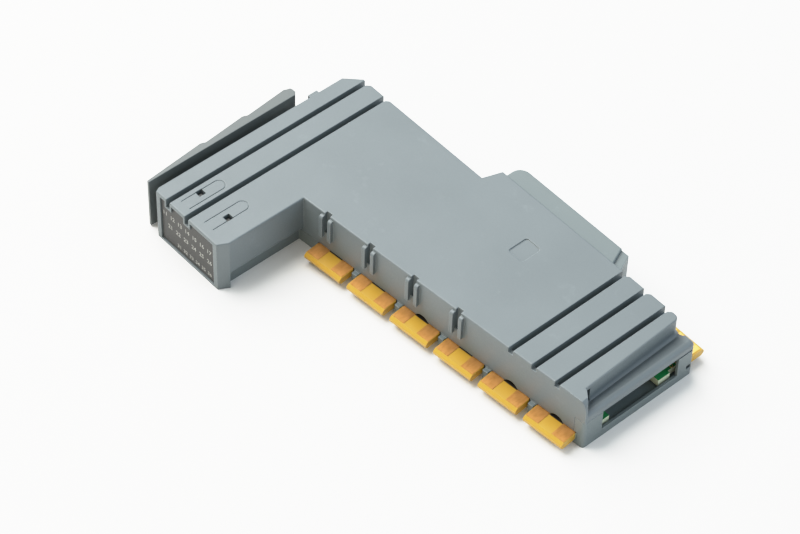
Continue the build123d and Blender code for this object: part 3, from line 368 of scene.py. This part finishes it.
@dataclass(frozen=True)
class GlassEpoxyBoard:
    """Woven glass and epoxy laminate, bare on its tongues and green-masked inside.

    It gives the eye honey-yellow tongues with a faint cross weave, a satin green mask
    inside the housing, a band of painted shade, near black, where the board passes under
    the wall, and pale sawn edges where the glass threads are cut.

    Each colour is a pair, its darker tint first. Each place is where one finish gives
    way to the next: tongue_mm and painted_shade_mm lie along Y from a line that slopes with
    the front wall, rear_tongue_mm lies along Y, and window_mm lies along X. upright_span
    is how level a face may be and still count as a sawn edge.
    """

    name: str = "glass_epoxy_laminate"
    bare: tuple[str, str] = ("#a8801c", "#b68f28")
    mask: tuple[str, str] = ("#1d7a41", "#27904f")
    sawn: tuple[str, str] = ("#a9b39a", "#c3cbb2")
    # The near-black colour of the painted shade where the board passes under the wall.
    painted_shade: str = "#17120e"
    ior: float = 1.55
    roughness: float = 0.42
    slope_deg: float = 5.0
    tongue_mm: Span = (-7.08, -7.0)
    painted_shade_mm: Span = (-3.4, -3.0)
    rear_tongue_mm: Span = (24.4, 24.6)
    window_mm: Span = (42.0, 42.2)
    upright_span: Span = (0.5, 0.3)
    cloud_mm: float = 6.0
    grit_mm: float = 0.2
    thread_mm: float = 0.55
    thread_height_mm: float = 0.01
    thread_strength: float = 0.2
    thread_waver: float = 0.4

    def build(self) -> bpy.types.Material:
        """Builds the material.

        Returns:
            The finished material.
        """
        sheet = Sheet(self.name)
        cloud = sheet.add("ShaderNodeTexNoise", {"Scale": per_mm(self.cloud_mm)}, sheet.here)
        grit = sheet.add(
            "ShaderNodeTexNoise", {"Scale": per_mm(self.grit_mm), "Detail": 4.0}, sheet.here)
        bare, mask, sawn = (
            sheet.add(
                "ShaderNodeMix", {"data_type": "RGBA", 6: srgb(dark), 7: srgb(light)},
                {0: (pattern, "Fac")})
            for (dark, light), pattern in (
                (self.bare, cloud), (self.mask, cloud), (self.sawn, grit)))
        place = sheet.add("ShaderNodeSeparateXYZ", links=sheet.here)
        facing = sheet.add("ShaderNodeNewGeometry")
        up = sheet.add("ShaderNodeSeparateXYZ", links={"Vector": (facing, "True Normal")})
        lying = sheet.add("ShaderNodeMath", {"operation": "ABSOLUTE"}, {0: (up, "Z")})
        depth = sheet.add(
            "ShaderNodeMath",
            {"operation": "MULTIPLY_ADD", 1: -math.tan(math.radians(self.slope_deg))},
            {0: (place, "X"), 2: (place, "Y")})
        inside, past_painted_shade, past_rear, at_end, upright = (
            sheet.add(
                "ShaderNodeMapRange", {"From Min": start, "From Max": end},
                {"Value": (node, output)})
            for node, output, start, end in (
                (depth, "Value", self.tongue_mm[0] * MM, self.tongue_mm[1] * MM),
                (depth, "Value", self.painted_shade_mm[0] * MM, self.painted_shade_mm[1] * MM),
                (place, "Y", self.rear_tongue_mm[0] * MM, self.rear_tongue_mm[1] * MM),
                (place, "X", self.window_mm[0] * MM, self.window_mm[1] * MM),
                (lying, "Value", self.upright_span[0], self.upright_span[1])))
        masked = sheet.add(
            "ShaderNodeMath", {"operation": "SUBTRACT", "use_clamp": True},
            {0: (inside, "Result"), 1: (past_rear, "Result")})
        cut = sheet.add(
            "ShaderNodeMath", {"operation": "MULTIPLY"},
            {0: (upright, "Result"), 1: (at_end, "Result")})
        cut_inside = sheet.add(
            "ShaderNodeMath", {"operation": "MULTIPLY"},
            {0: (cut, "Value"), 1: (masked, "Value")})
        # Painted shade: near black just behind the wall's face, giving way to the green mask
        # further in.
        covered = sheet.add(
            "ShaderNodeMix", {"data_type": "RGBA", 6: srgb(self.painted_shade)},
            {0: (past_painted_shade, "Result"), 7: (mask, 2)})
        face = sheet.add(
            "ShaderNodeMix", {"data_type": "RGBA"},
            {0: (masked, "Value"), 6: (bare, 2), 7: (covered, 2)})
        colour = sheet.add(
            "ShaderNodeMix", {"data_type": "RGBA"},
            {0: (cut_inside, "Value"), 6: (face, 2), 7: (sawn, 2)})
        warp, weft = (
            sheet.add(
                "ShaderNodeTexWave",
                {"bands_direction": way, "Distortion": self.thread_waver, "Detail": 1.0,
                 "Scale": per_mm(self.thread_mm) * 2.0 * math.pi / BAND_RADIANS},
                sheet.here)
            for way in ("X", "Y"))
        cloth = sheet.add(
            "ShaderNodeMath", {"operation": "MAXIMUM"}, {0: (warp, "Fac"), 1: (weft, "Fac")})
        relief = sheet.add(
            "ShaderNodeBump",
            {"Strength": self.thread_strength, "Distance": self.thread_height_mm * MM},
            {"Height": (cloth, "Value")})
        return sheet.close(sheet.add(
            "ShaderNodeBsdfPrincipled", {"IOR": self.ior, "Roughness": self.roughness},
            {"Base Color": (colour, 2), "Normal": (relief, "Normal")}))


@dataclass(frozen=True)
class ClearPlastic:
    """Clear polycarbonate, polished: a light pipe.

    It gives the eye a glassy, slightly swirled body with a faint cool tint.
    """

    name: str = "polycarbonate_clear_polished"
    colour: str = "#dfe8e4"
    roughness: float = 0.12
    ior: float = 1.585
    clearness: float = 0.75
    swirl_mm: float = 2.0
    swirl_height_mm: float = 0.02
    swirl_strength: float = 0.2

    def build(self) -> bpy.types.Material:
        """Builds the material.

        Returns:
            The finished material.
        """
        sheet = Sheet(self.name)
        swirl = sheet.add(
            "ShaderNodeTexNoise", {"Scale": per_mm(self.swirl_mm), "Detail": 2.0}, sheet.here)
        relief = sheet.add(
            "ShaderNodeBump",
            {"Strength": self.swirl_strength, "Distance": self.swirl_height_mm * MM},
            {"Height": (swirl, "Fac")})
        return sheet.close(sheet.add(
            "ShaderNodeBsdfPrincipled",
            {"IOR": self.ior, "Roughness": self.roughness,
             "Transmission Weight": self.clearness, "Base Color": srgb(self.colour)},
            {"Normal": (relief, "Normal")}))


@dataclass(frozen=True)
class PressedCard:
    """Pale uncoated card, calendered: the table's top.

    It gives the eye an even, dead matt ground with a barely felt tooth.
    """

    name: str = "white_card_matt"
    colour: str = "#e9eae9"
    roughness: float = 0.9
    tooth_mm: float = 1.2  # paper fibre is about 0.1 mm, drawn coarser so that it shows
    tooth_height_mm: float = 0.02
    tooth_strength: float = 0.05

    def build(self) -> bpy.types.Material:
        """Builds the material.

        Returns:
            The finished material.
        """
        sheet = Sheet(self.name)
        tooth = sheet.add(
            "ShaderNodeTexNoise", {"Scale": per_mm(self.tooth_mm), "Detail": 3.0}, sheet.here)
        relief = sheet.add(
            "ShaderNodeBump",
            {"Strength": self.tooth_strength, "Distance": self.tooth_height_mm * MM},
            {"Height": (tooth, "Fac")})
        return sheet.close(sheet.add(
            "ShaderNodeBsdfPrincipled",
            {"Base Color": srgb(self.colour), "Roughness": self.roughness},
            {"Normal": (relief, "Normal")}))


class Finish(Enum):
    """The finishes, by what they dress."""

    # A calm blue-grey, dull all over, with a painted highlight along its edges.
    COVER = MouldedPlastic(
        "polycarbonate_moulded_blue_grey", "#5b6569", "#576165", "#8d989c")
    # The same resin as the cover, a shade warmer, and painted a shade lighter than the cover
    # beside it: painted light on the base shell's faces.
    BASE = MouldedPlastic(
        "polycarbonate_moulded_blue_grey_painted_lighter", "#5e696b", "#5a6567", "#8f9a9d")
    # A plainer grey with a little more shine, so the lever stands off the housing.
    LEVER = MouldedPlastic(
        "polyamide_moulded_grey", "#565d5e", "#52595a", "#7d8688", roughness=0.46, ior=1.53)
    # Nearly black and flat, with crisp edges, so the figures on it can be read.
    LABEL = MouldedPlastic(
        "polyester_label_film_anthracite", "#2d2e2e", "#292a2a", "#424343", roughness=0.6,
        ior=1.57, grain_mm=0.25, edge_mm=0.08)
    # A dry light grey, thinner in places, as a screen leaves it.
    INK = CastBody(
        "epoxy_ink_screen_printed_grey", "#a2a4a2", "#83857f", roughness=0.6, grain_mm=0.4,
        ior=1.5, grain_height_mm=0.004)
    # A dark, faintly shining frame round the clear pipes.
    CARRIER = MouldedPlastic(
        "polybutylene_moulded_black", "#2b2e2e", "#232626", "#3c4040", roughness=0.45,
        ior=1.57)
    # Glassy pipes with a faint cool tint.
    PIPES = ClearPlastic()
    # Small glossy amber drops, like set resin.
    LAMPS = CastBody(
        "lamp_epoxy_cast_amber", "#e8c878", "#d8b060", roughness=0.25, grain_mm=0.2)
    # A cold bright strip with lines along its length.
    STEEL = DrawnMetal(
        "spring_steel_drawn", "#b9bcbd", "#8f9394", roughness=0.28, line_mm=0.2,
        stretch=(1.0, 0.2, 1.0))
    # Honey-yellow tongues and a green body, with a band of painted shade where the board passes
    # under the wall.
    BOARD = GlassEpoxyBoard()
    # Warm brown-orange pads, duller than gold, with lines along the tongue.
    COPPER = DrawnMetal(
        "copper_rolled_flash_gilt", "#bb8a52", "#a67842", roughness=0.5, line_mm=0.5,
        stretch=(1.0, 0.4, 1.0))
    # A rich yellow with a soft, even sheen.
    GOLD = DrawnMetal("gold_plated_nickel", "#e9c173", "#d9ac58", roughness=0.4, line_mm=0.4)
    # Charcoal bodies, matt, with a fine peppering of filler.
    CHIPS = CastBody(
        "epoxy_moulding_compound_black", "#2a2c2e", "#1d1f21", roughness=0.55, grain_mm=0.12)
    # Chalky off-white bodies.
    OPTOS = CastBody(
        "epoxy_moulding_compound_white", "#dfe0da", "#cdcfc8", roughness=0.5, grain_mm=0.12)
    # Silvery legs with a slightly clouded shine.
    LEADS = DrawnMetal(
        "copper_stamped_tinned", "#c9ccce", "#a2a7aa", roughness=0.32, line_mm=0.15)
    # Tan blocks with a dense, faintly waxy face.
    CERAMIC = CastBody(
        "barium_titanate_fired_tan", "#b89a78", "#a08464", roughness=0.45, grain_mm=0.1,
        ior=2.0)
    # Bright cans with fine lines from base to top.
    CANS = DrawnMetal(
        "aluminium_drawn_can", "#cfd3d6", "#aab0b4", roughness=0.3, line_mm=0.2,
        stretch=(1.0, 1.0, 0.2))
    # Smooth mustard blocks with softly shining faces.
    TANTALUM = CastBody(
        "epoxy_cast_ochre", "#d9a13a", "#c08a2c", roughness=0.4, grain_mm=0.12)
    # A dead matt charcoal body, as grainy as fired clay.
    FERRITE = CastBody(
        "nickel_zinc_ferrite_sintered", "#3a3b3d", "#2c2d2f", roughness=0.7, grain_mm=0.18,
        ior=2.2)


def skin(name: str, sweeps: list[list[list[Vector]]], closed: bool) -> bpy.types.Object:
    """Skins rows of cross-sections into one closed surface each.

    Args:
        name: the piece's name.
        sweeps: for each surface, its cross-sections in order, in metres.
        closed: whether the last cross-section joins the first; if not, the ends are capped.

    Returns:
        The new piece.
    """
    work = bmesh.new()
    for sections in sweeps:
        rows = [[work.verts.new(point) for point in section] for section in sections]
        for near, far in zip(rows, rows[1:] + (rows[:1] if closed else [])):
            for this, following in zip(range(len(near)), [*range(1, len(near)), 0]):
                work.faces.new((near[this], far[this], far[following], near[following]))
        if not closed:
            work.faces.new(rows[0])
            work.faces.new(rows[-1])
    bmesh.ops.recalc_face_normals(work, faces=work.faces)
    mesh = bpy.data.meshes.new(name)
    work.to_mesh(mesh)
    work.free()
    return bpy.data.objects.new(name, mesh)


@dataclass
class Wardrobe:
    """Keeps each finish's material once it is built."""

    built: dict[Finish, bpy.types.Material] = field(default_factory=dict)

    def get(self, finish: Finish) -> bpy.types.Material:
        """Gives a finish's material, built once.

        Args:
            finish: the finish that is wanted.

        Returns:
            Its material.
        """
        if finish not in self.built:
            self.built[finish] = finish.value.build()
        return self.built[finish]

    def dress(self, node: str, finish: Finish) -> None:
        """Puts a finish in all of a CAD node's material slots.

        Args:
            node: the CAD node's name.
            finish: the finish that it gets.
        """
        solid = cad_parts[node]
        material = self.get(finish)
        if not solid.material_slots:
            solid.data.materials.append(material)
        for place in solid.material_slots:
            place.material = material
        log.info("dressed %s in %s", node, material.name)

    def hang(self, piece: bpy.types.Object, finish: Finish, body: str, slot: str) -> None:
        """Dresses a new piece and sets it on its body.

        Args:
            piece: the new piece, already in place.
            finish: the finish that it gets.
            body: the CAD body that it rides on.
            slot: the record's material slot that it belongs to; not used.
        """
        piece.data.materials.append(self.get(finish))
        bpy.context.scene.collection.objects.link(piece)
        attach(piece, body)
        log.info("added %s in %s", piece.name, piece.data.materials[0].name)


# ---------------------------------------------------------------- the module's sub-assemblies


@dataclass
class HousingPair:
    """Side cover and base shell, moulded apart and snapped together."""

    wardrobe: Wardrobe

    def build(self) -> None:
        """Dresses both mouldings."""
        self.wardrobe.dress("side_cover", Finish.COVER)
        # The base shell's finish is the cover's plastic painted a shade lighter, as painted
        # light.
        self.wardrobe.dress("base_shell", Finish.BASE)


@dataclass
class ReleaseLever:
    """Toothed lever on its steel pin, with the leaf spring that presses it outwards.

    The spring's strip has a short hook, a foot flat on the housing's wall, and a leaf
    that leans out to the lever and curls back at its tip. pressed, what is left of the
    leaf's rise when the lever is at its limit, is not used.
    """

    wardrobe: Wardrobe
    strip_mm: float = 0.25
    bend_mm: float = 0.3
    hook_mm: float = 1.2
    foot_mm: float = 3.0
    lap_mm: float = 0.05
    curl_mm: float = 1.2
    wall_x_mm: float = -42.885
    fit_mm: float = 0.05
    pressed: float = 0.45

    def build(self) -> None:
        """Dresses the lever and its pin, and makes the spring."""
        self.wardrobe.dress("release_lever", Finish.LEVER)
        self.wardrobe.dress("hinge_pin", Finish.STEEL)
        self.wardrobe.dress("lever_spring", Finish.STEEL)
        low, high = (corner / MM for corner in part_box("lever_spring"))
        half = self.strip_mm / 2
        inner, outer = high.x - half, self.wall_x_mm - self.fit_mm - half
        start = low.y + half
        knee = start + self.foot_mm
        root = self.strip("lever_spring_root", [
            (inner, start + self.hook_mm), (inner, start), (outer, start), (outer, knee)])
        leaf = self.strip("lever_spring_leaf", [
            (outer, knee - self.lap_mm), (low.x + half, high.y - self.curl_mm),
            (low.x + half + self.strip_mm, high.y - half)])
        for piece in (root, leaf):
            self.wardrobe.hang(piece, Finish.STEEL, HOUSING, "steel")
            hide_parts("lever_spring")
        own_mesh(leaf)

    def strip(self, name: str, corners: list[tuple[float, float]]) -> bpy.types.Object:
        """Bends a flat steel strip that stands on edge.

        Args:
            name: the piece's name.
            corners: the strip's middle line seen from above, in millimetres.

        Returns:
            The new piece, in place.
        """
        low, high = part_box("lever_spring")
        line = self.bent([Vector(corner) for corner in corners])
        rows = []
        for index, point in enumerate(line):
            ahead = line[min(index + 1, len(line) - 1)] - line[max(index - 1, 0)]
            side = ahead.orthogonal().normalized() * self.strip_mm / 2
            rows.append([
                Vector(((point.x + side.x * way) * MM, (point.y + side.y * way) * MM, z))
                for way, z in ((1, low.z), (1, high.z), (-1, high.z), (-1, low.z))])
        return skin(name, [rows], closed=False)

    def bent(self, corners: list[Vector], steps: int = 5) -> list[Vector]:
        """Rounds a line's inner corners, as a bending tool does.

        Args:
            corners: the line's corners in millimetres.
            steps: how many points each bend gets.

        Returns:
            The rounded line.
        """
        line = [corners[0]]
        for before, corner, after in zip(corners, corners[1:], corners[2:]):
            enter = corner + (before - corner).normalized() * self.bend_mm
            leave = corner + (after - corner).normalized() * self.bend_mm
            for step in range(steps):
                share = step / (steps - 1)
                line.append(enter.lerp(corner, share).lerp(corner.lerp(leave, share), share))
        return line + [corners[-1]]


@dataclass(frozen=True)
class NumeralRow:
    """One row of plain numbers on the label, in millimetres from the label's low corner."""

    first: int
    count: int
    start_mm: float
    pitch_mm: float
    height_mm: float
    size_mm: float


@dataclass
class StatusEnd:
    """Label plate with its numbers, and the light guide and lamps behind it.

    ink_mm is how far the ink stands up, and spread_mm how far it runs past its line.
    """

    wardrobe: Wardrobe
    rows: tuple[NumeralRow, ...] = (
        NumeralRow(11, 7, start_mm=0.2, pitch_mm=2.2, height_mm=7.0, size_mm=1.45),
        NumeralRow(21, 6, start_mm=1.7, pitch_mm=2.35, height_mm=4.2, size_mm=1.45),
        NumeralRow(31, 6, start_mm=4.4, pitch_mm=1.82, height_mm=0.9, size_mm=1.25),
    )
    ink_mm: float = 0.012
    spread_mm: float = 0.02

    def build(self) -> None:
        """Dresses the status end and prints its numbers."""
        self.wardrobe.dress("status_label", Finish.LABEL)
        self.wardrobe.dress("guide_carrier", Finish.CARRIER)
        self.wardrobe.dress("light_guide", Finish.PIPES)
        self.wardrobe.dress("status_lamps", Finish.LAMPS)
        for number, row in enumerate(self.rows, 1):
            piece = self.print_row(f"label_numerals_row_{number}", row)
            self.wardrobe.hang(piece, Finish.INK, HOUSING, "label")

    def print_row(self, name: str, row: NumeralRow) -> bpy.types.Object:
        """Makes one row of numbers as thin raised ink on the label's face.

        Args:
            name: the piece's name.
            row: the numbers and where they stand.

        Returns:
            The new piece, in place.
        """
        low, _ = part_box("status_label")
        printed = bmesh.new()
        for step in range(row.count):
            glyphs = self.number(str(row.first + step), row.size_mm)
            place = Matrix.Translation((
                low.x + (row.start_mm + step * row.pitch_mm) * MM, low.y,
                low.z + row.height_mm * MM))
            glyphs.transform(place @ Matrix.Rotation(math.radians(90.0), 4, "X"))
            printed.from_mesh(glyphs)
            bpy.data.meshes.remove(glyphs)
        mesh = bpy.data.meshes.new(name)
        printed.to_mesh(mesh)
        printed.free()
        return bpy.data.objects.new(name, mesh)

    def number(self, figures: str, size_mm: float) -> bpy.types.Mesh:
        """Makes one number, lying flat with its foot on the origin.

        Args:
            figures: the number's figures.
            size_mm: the type's size in millimetres.

        Returns:
            Its mesh.
        """
        line = bpy.data.curves.new("number", "FONT")
        line.body = figures
        line.size = size_mm * MM
        line.extrude = self.ink_mm * MM
        line.offset = self.spread_mm * MM
        line.resolution_u = 2
        block = bpy.data.objects.new("number", line)
        bpy.context.scene.collection.objects.link(block)
        bpy.context.view_layer.update()
        mesh = bpy.data.meshes.new_from_object(
            block.evaluated_get(bpy.context.evaluated_depsgraph_get()))
        bpy.data.objects.remove(block)
        bpy.data.curves.remove(line)
        return mesh


@dataclass
class TongueBoard:
    """The main board with its terminal tongues, its rear bus tongue and their contacts.

    ring_mm is a plated ring's bore and rim radius. Each ring's place is measured back
    from the board's end and in from its rearmost edge.
    """

    wardrobe: Wardrobe
    ring_mm: Span = (0.2, 0.42)
    ring_height_mm: float = 0.035
    ring_places_mm: tuple[Span, ...] = ((1.0, 6.3), (1.0, 7.7))

    def build(self) -> None:
        """Dresses the board and its contacts, and adds the plated rings."""
        self.wardrobe.dress("main_board", Finish.BOARD)
        self.wardrobe.dress("terminal_contacts", Finish.COPPER)
        self.wardrobe.dress("bus_contacts", Finish.GOLD)
        self.wardrobe.hang(self.rings(), Finish.GOLD, HOUSING, "contact_gold")

    def rings(self, steps: int = 24) -> bpy.types.Object:
        """Makes the plated rings on the board corner that shows in the window.

        Args:
            steps: how many sides each ring has.

        Returns:
            The new piece, in place.
        """
        _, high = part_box("main_board")
        bore, rim = self.ring_mm
        top = self.ring_height_mm
        profile = ((bore, 0.0), (bore, top), (rim - top, top), (rim, 0.0))
        sweeps = []
        for back, side in self.ring_places_mm:
            centre = Vector((high.x - back * MM, high.y - side * MM, high.z))
            sweeps.append([
                [centre + Vector((math.cos(turn) * out, math.sin(turn) * out, up)) * MM
                 for out, up in profile]
                for turn in (2.0 * math.pi * step / steps for step in range(steps))])
        return skin("board_corner_rings", sweeps, closed=True)


@dataclass
class Electronics:
    """The parts that stand on the board."""

    wardrobe: Wardrobe
    finishes: dict[str, Finish] = field(default_factory=lambda: {
        "controller_chip": Finish.CHIPS,
        "controller_leads": Finish.LEADS,
        "bus_chip": Finish.CHIPS,
        "crystal": Finish.CANS,
        "optocouplers": Finish.OPTOS,
        "output_drivers": Finish.CHIPS,
        "driver_leads": Finish.LEADS,
        "protection_diodes": Finish.CHIPS,
        "ceramic_capacitors": Finish.CERAMIC,
        "chip_resistors": Finish.CHIPS,
        "can_capacitors": Finish.CANS,
        "tantalum_capacitors": Finish.TANTALUM,
        "power_inductor": Finish.FERRITE,
    })

    def build(self) -> None:
        """Dresses every part on the board."""
        for node, finish in self.finishes.items():
            self.wardrobe.dress(node, finish)


# ---------------------------------------------------------------- studio


@dataclass(frozen=True)
class Softbox:
    """One square soft light that faces the module."""

    name: str
    place_m: tuple[float, float, float]
    watts: float
    side_m: float
    colour: str

    def hang(self) -> None:
        """Hangs the light in the studio."""
        data = bpy.data.lights.new(self.name, "AREA")
        data.energy = self.watts
        data.size = self.side_m
        data.color = srgb(self.colour)[:3]
        light = bpy.data.objects.new(self.name, data)
        light.location = self.place_m
        light.rotation_euler = Vector(self.place_m).to_track_quat("Z", "Y").to_euler()
        bpy.context.scene.collection.objects.link(light)
        log.info("hung %s", self.name)


@dataclass
class Studio:
    """A pale table, soft window light, and the camera.

    The camera looks at aim_mm from its azimuth and elevation, in degrees, and leans by
    its roll. film_curve pairs each scene brightness with the tone that it is shown in.
    """

    aim_mm: tuple[float, float, float] = (-2.47, -2.75, 6.25)
    azimuth: float = 47.36
    elevation: float = 48.49
    roll: float = 1.92
    distance_mm: float = 558.71
    lens_mm: float = 134.16
    sensor_mm: float = 36.0
    floor_m: float = 3.0
    floor_finish: PressedCard = PressedCard()
    room_colour: str = "#f4f8fa"
    room_strength: float = 0.62
    lights: tuple[Softbox, ...] = (
        Softbox(
            "window_softbox", (-0.65, -0.1, 0.93), watts=34.0, side_m=1.1, colour="#fffdf9"),
        Softbox(
            "cool_wall_fill", (0.65, 0.5, 0.4), watts=3.8, side_m=0.7, colour="#c4d9ec"),
        Softbox(
            "warm_wall_fill", (0.15, -0.8, 0.12), watts=2.0, side_m=0.6, colour="#ffdb98"),
    )
    film_curve: tuple[Span, ...] = (
        (0.25, 0.25), (0.5, 0.5), (0.8, 0.76), (1.15, 0.88), (1.7, 0.95), (4.0, 0.99),
    )

    def camera(self) -> None:
        """Makes the camera and gives it to the scene."""
        az, el, roll = (math.radians(a) for a in (self.azimuth, self.elevation, self.roll))
        back = Vector((math.sin(az) * math.cos(el), -math.cos(az) * math.cos(el), math.sin(el)))
        level = Vector((0, 0, 1)).cross(back).normalized()
        upright = back.cross(level)
        right = level * math.cos(roll) + upright * math.sin(roll)
        up = back.cross(right)
        data = bpy.data.cameras.new("camera")
        data.lens = self.lens_mm
        data.sensor_width = self.sensor_mm
        camera = bpy.data.objects.new("camera", data)
        turn = Matrix((right, up, back)).transposed().to_4x4()
        turn.translation = Vector(self.aim_mm) * MM + back * self.distance_mm * MM
        camera.matrix_world = turn
        bpy.context.scene.collection.objects.link(camera)
        bpy.context.scene.camera = camera

    def floor(self) -> None:
        """Lays a wide pale table top under the module."""
        mesh = bpy.data.meshes.new("floor")
        grid = bmesh.new()
        bmesh.ops.create_grid(grid, x_segments=8, y_segments=8, size=self.floor_m)
        grid.to_mesh(mesh)
        grid.free()
        floor = bpy.data.objects.new("floor", mesh)
        floor.location = (0.0, 0.0, CAD_BOX[0][2])
        bpy.context.scene.collection.objects.link(floor)
        mesh.materials.append(self.floor_finish.build())

    def room(self) -> None:
        """Sets the room's own pale light."""
        world = bpy.data.worlds.new("room")
        world.use_nodes = True
        background = world.node_tree.nodes["Background"]
        background.inputs["Color"].default_value = srgb(self.room_colour)
        background.inputs["Strength"].default_value = self.room_strength
        bpy.context.scene.world = world

    def film(self) -> None:
        """Rolls the brightest tones off softly, as a camera does on a white table."""
        view = bpy.context.scene.view_settings
        view.view_transform = "Standard"
        view.use_curve_mapping = True
        view.curve_mapping.clip_max_x = self.film_curve[-1][0]
        curve = view.curve_mapping.curves[3]  # the curve that all three colours share
        curve.points[0].location = (0.0, 0.0)
        curve.points[1].location = self.film_curve[-1]
        for light, tone in self.film_curve[:-1]:
            curve.points.new(light, tone)
        view.curve_mapping.update()

    def build(self) -> None:
        """Builds the whole studio."""
        self.camera()
        self.floor()
        self.room()
        self.film()
        for light in self.lights:
            light.hang()
        log.info("studio ready")


def main() -> None:
    """Builds the studio and the module."""
    logging.basicConfig(level=logging.INFO, format="%(message)s")
    Studio().build()
    wardrobe = Wardrobe()
    for part in (HousingPair, ReleaseLever, StatusEnd, TongueBoard, Electronics):
        part(wardrobe).build()


if __name__ == "__main__":
    main()
